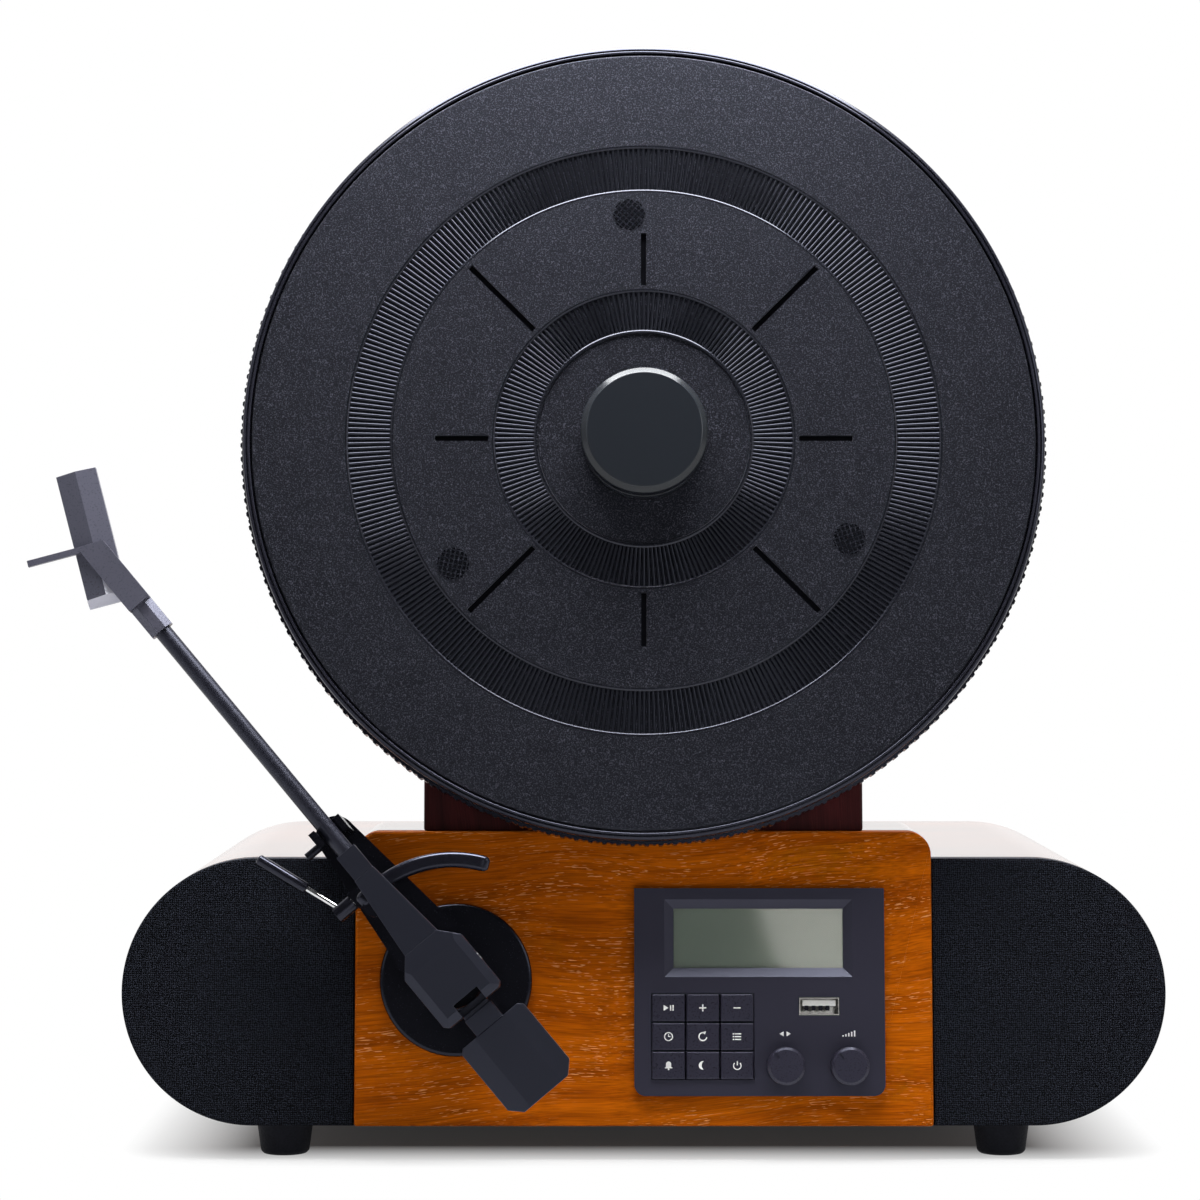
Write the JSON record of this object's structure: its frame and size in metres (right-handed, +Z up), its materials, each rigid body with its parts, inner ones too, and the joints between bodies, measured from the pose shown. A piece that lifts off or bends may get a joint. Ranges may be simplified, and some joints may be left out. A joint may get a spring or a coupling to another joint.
{
  "type": "vertical record player",
  "caption": "Vertical belt-drive record player: pill-shaped wooden speaker base, leaning front with tonearm, keypad, display and knobs, and an upright that carries the platter.",
  "frame": {"origin": "on the floor, under the middle of the whole outline seen from above, with the parked tonearm", "axes": "+X to the right seen from the front, +Y to the back, +Z up"},
  "size_m": [0.3921, 0.2768, 0.3898],
  "materials": {
    "lacquered_wood": "glossy clear lacquer over stained veneer",
    "panel_veneer": "satin stained veneer with open pores",
    "upright_wood": "satin dark stained veneer",
    "fibreboard": "black painted fibreboard",
    "case_plastic": "fine moulded grain",
    "grille_cloth": "tight black speaker cloth",
    "driver_metal": "pressed steel",
    "cone_plastic": "matt black cone",
    "screw_steel": "blackened steel",
    "foot_rubber": "matt black rubber",
    "bearing_brass": "turned brass",
    "belt_rubber": "matt rubber",
    "spindle_steel": "ground steel",
    "platter_plastic": "moulded dark grey, glossy on the shoulder",
    "mat_plastic": "leather-grained moulded mat",
    "clamp_plastic": "satin moulded dark grey",
    "arm_plastic": "satin moulded black",
    "arm_metal": "black lacquered metal",
    "lever_chrome": "polished chrome",
    "stylus_plastic": "moulded red",
    "bezel_plastic": "satin dark slate",
    "key_plastic": "satin dark slate",
    "knob_plastic": "satin dark grey",
    "display_glass": "clear window",
    "display_cell": "grey-green liquid crystal",
    "circuit_board": "green solder mask",
    "port_steel": "plated steel"
  },
  "bodies": {
    "base": {"cabinet_shell": "lacquered_wood", "centre_block": "lacquered_wood", "front_panel": "panel_veneer", "upright_housing": "upright_wood", "baffle_boards": "fibreboard", "back_board": "fibreboard", "left_grille_frame": "case_plastic", "right_grille_frame": "case_plastic", "upright_rear_cover": "case_plastic", "rear_jacks": "case_plastic", "left_grille_cloth": "grille_cloth", "right_grille_cloth": "grille_cloth", "left_speaker": "driver_metal", "right_speaker": "driver_metal", "drive_motor": "driver_metal", "left_cone": "cone_plastic", "right_cone": "cone_plastic", "case_screws": "screw_steel", "feet": "foot_rubber", "spindle_bearing": "bearing_brass", "drive_belt": "belt_rubber", "arm_bracket": "arm_plastic", "arm_rest": "arm_plastic", "arm_base": "arm_metal", "control_bezel": "bezel_plastic", "display_window": "display_glass", "display_panel": "display_cell", "control_board": "circuit_board", "main_board": "circuit_board", "port_socket": "port_steel"},
    "platter": {"platter": "platter_plastic", "platter_rim": "platter_plastic", "platter_mat": "mat_plastic", "mat_pads": "belt_rubber", "spindle": "spindle_steel"},
    "record_clamp": {"record_clamp": "clamp_plastic"},
    "motor_pulley": {"motor_pulley": "bearing_brass"},
    "arm_yoke": {"arm_yoke": "arm_metal", "lift_pins": "spindle_steel"},
    "tonearm": {"arm_housing": "arm_plastic", "arm_sleeve": "arm_plastic", "arm_tube": "arm_metal", "headshell": "arm_plastic", "cartridge": "arm_plastic", "stylus": "stylus_plastic", "counterweight": "arm_plastic"},
    "cue_lever": {"cue_lever": "lever_chrome", "cue_lever_grip": "arm_plastic"},
    "cue_lift": {"cue_lift_bar": "arm_plastic"},
    "tune_knob": {"tune_knob": "knob_plastic"},
    "volume_knob": {"volume_knob": "knob_plastic"},
    "button_top_left": {"button_top_left": "key_plastic"},
    "button_top_middle": {"button_top_middle": "key_plastic"},
    "button_top_right": {"button_top_right": "key_plastic"},
    "button_middle_left": {"button_middle_left": "key_plastic"},
    "button_middle_middle": {"button_middle_middle": "key_plastic"},
    "button_middle_right": {"button_middle_right": "key_plastic"},
    "button_bottom_left": {"button_bottom_left": "key_plastic"},
    "button_bottom_middle": {"button_bottom_middle": "key_plastic"},
    "button_bottom_right": {"button_bottom_right": "key_plastic"}
  },
  "joints": [
    {"name": "platter_spin", "type": "hinge", "parent": "base", "child": "platter", "pos_m": [0.015, -0.06832, 0.24793], "axis": [0, 0.9936, -0.1132], "continuous": true},
    {"name": "clamp_lift_off", "type": "slide", "parent": "platter", "child": "record_clamp", "axis": [0, -0.9936, 0.1132], "range_m": [0, 0.04]},
    {"name": "pulley_spin", "type": "hinge", "parent": "base", "child": "motor_pulley", "pos_m": [0.015, -0.07907, 0.15354], "axis": [0, 0.9936, -0.1132], "continuous": true},
    {"name": "arm_swing", "type": "hinge", "parent": "base", "child": "arm_yoke", "pos_m": [-0.0503, -0.08948, 0.06218], "axis": [0, 0.9936, -0.1132], "range_deg": [0, 42]},
    {"name": "arm_lift", "type": "hinge", "parent": "arm_yoke", "child": "tonearm", "pos_m": [-0.0503, -0.12823, 0.06659], "axis": [0.766, 0.0728, 0.6387], "range_deg": [0, 5]},
    {"name": "cue_lever_turn", "type": "hinge", "parent": "base", "child": "cue_lever", "pos_m": [-0.07794, -0.09917, 0.09643], "axis": [0.766, 0.0728, 0.6387], "range_deg": [0, 55]},
    {"name": "cue_lift_rise", "type": "slide", "parent": "base", "child": "cue_lift", "axis": [0, -0.9936, 0.1132], "range_m": [0, 0.0036]},
    {"name": "tune_turn", "type": "hinge", "parent": "base", "child": "tune_knob", "pos_m": [0.064, -0.09283, 0.03277], "axis": [0, 0.9936, -0.1132], "continuous": true},
    {"name": "volume_turn", "type": "hinge", "parent": "base", "child": "volume_knob", "pos_m": [0.0861, -0.09283, 0.03277], "axis": [0, 0.9936, -0.1132], "range_deg": [-107, 193]},
    {"name": "button_top_left_press", "type": "slide", "parent": "base", "child": "button_top_left", "axis": [0, 0.9936, -0.1132], "range_m": [0, 0.0008], "stiffness_N_per_m": 600},
    {"name": "button_top_middle_press", "type": "slide", "parent": "base", "child": "button_top_middle", "axis": [0, 0.9936, -0.1132], "range_m": [0, 0.0008], "stiffness_N_per_m": 600},
    {"name": "button_top_right_press", "type": "slide", "parent": "base", "child": "button_top_right", "axis": [0, 0.9936, -0.1132], "range_m": [0, 0.0008], "stiffness_N_per_m": 600},
    {"name": "button_middle_left_press", "type": "slide", "parent": "base", "child": "button_middle_left", "axis": [0, 0.9936, -0.1132], "range_m": [0, 0.0008], "stiffness_N_per_m": 600},
    {"name": "button_middle_middle_press", "type": "slide", "parent": "base", "child": "button_middle_middle", "axis": [0, 0.9936, -0.1132], "range_m": [0, 0.0008], "stiffness_N_per_m": 600},
    {"name": "button_middle_right_press", "type": "slide", "parent": "base", "child": "button_middle_right", "axis": [0, 0.9936, -0.1132], "range_m": [0, 0.0008], "stiffness_N_per_m": 600},
    {"name": "button_bottom_left_press", "type": "slide", "parent": "base", "child": "button_bottom_left", "axis": [0, 0.9936, -0.1132], "range_m": [0, 0.0008], "stiffness_N_per_m": 600},
    {"name": "button_bottom_middle_press", "type": "slide", "parent": "base", "child": "button_bottom_middle", "axis": [0, 0.9936, -0.1132], "range_m": [0, 0.0008], "stiffness_N_per_m": 600},
    {"name": "button_bottom_right_press", "type": "slide", "parent": "base", "child": "button_bottom_right", "axis": [0, 0.9936, -0.1132], "range_m": [0, 0.0008], "stiffness_N_per_m": 600}
  ],
  "couplings": [
    {"joint": "pulley_spin", "follows": "platter_spin", "ratio": 10},
    {"joint": "cue_lift_rise", "follows": "cue_lever_turn", "m_per_rad": 0.0037502},
    {"joint": "arm_lift", "follows": "cue_lever_turn", "ratio": 0.0909}
  ]
}
